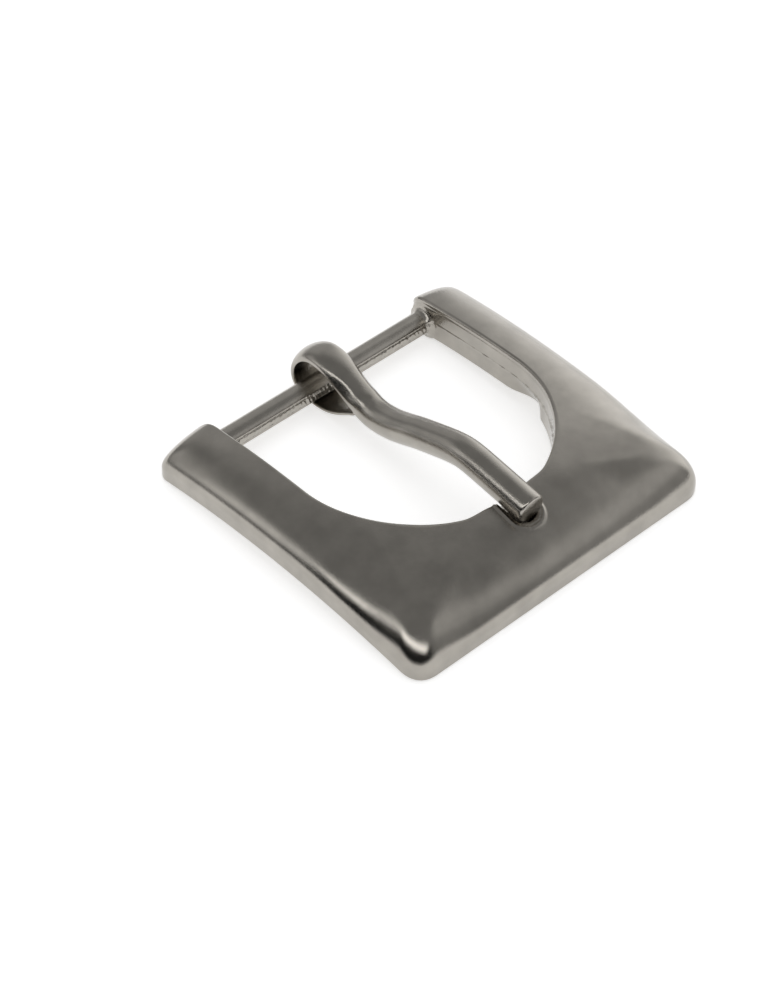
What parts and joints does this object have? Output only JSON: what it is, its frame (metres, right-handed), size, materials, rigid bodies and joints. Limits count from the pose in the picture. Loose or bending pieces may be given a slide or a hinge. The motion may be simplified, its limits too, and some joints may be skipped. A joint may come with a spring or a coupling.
{
  "type": "belt buckle",
  "caption": "Pin buckle for a belt: a crowned, square cast frame with a half-round opening, a hinge bar across its open end, and a swinging prong that rests in a seat.",
  "frame": {"origin": "middle of the whole buckle's footprint, at the height of the surface that it lies on, face up", "axes": "+X along the hinge bar, +Y from the front band towards the hinge bar, +Z out of the buckle's face"},
  "size_m": [0.0498, 0.0486, 0.0113],
  "materials": {
    "frame_nickel": "polished dark nickel plate on cast zinc",
    "bar_nickel": "nickel plate over an as-cast surface, duller than the frame",
    "prong_nickel": "polished dark nickel plate"
  },
  "bodies": {
    "frame": {"frame": "frame_nickel", "hinge_bar": "bar_nickel"},
    "prong": {"prong": "prong_nickel"}
  },
  "joints": [
    {"name": "prong_hinge", "type": "hinge", "parent": "frame", "child": "prong", "pos_m": [0, 0.01995, 0.0026], "axis": [-1, 0, 0], "range_deg": [0, 150]}
  ]
}
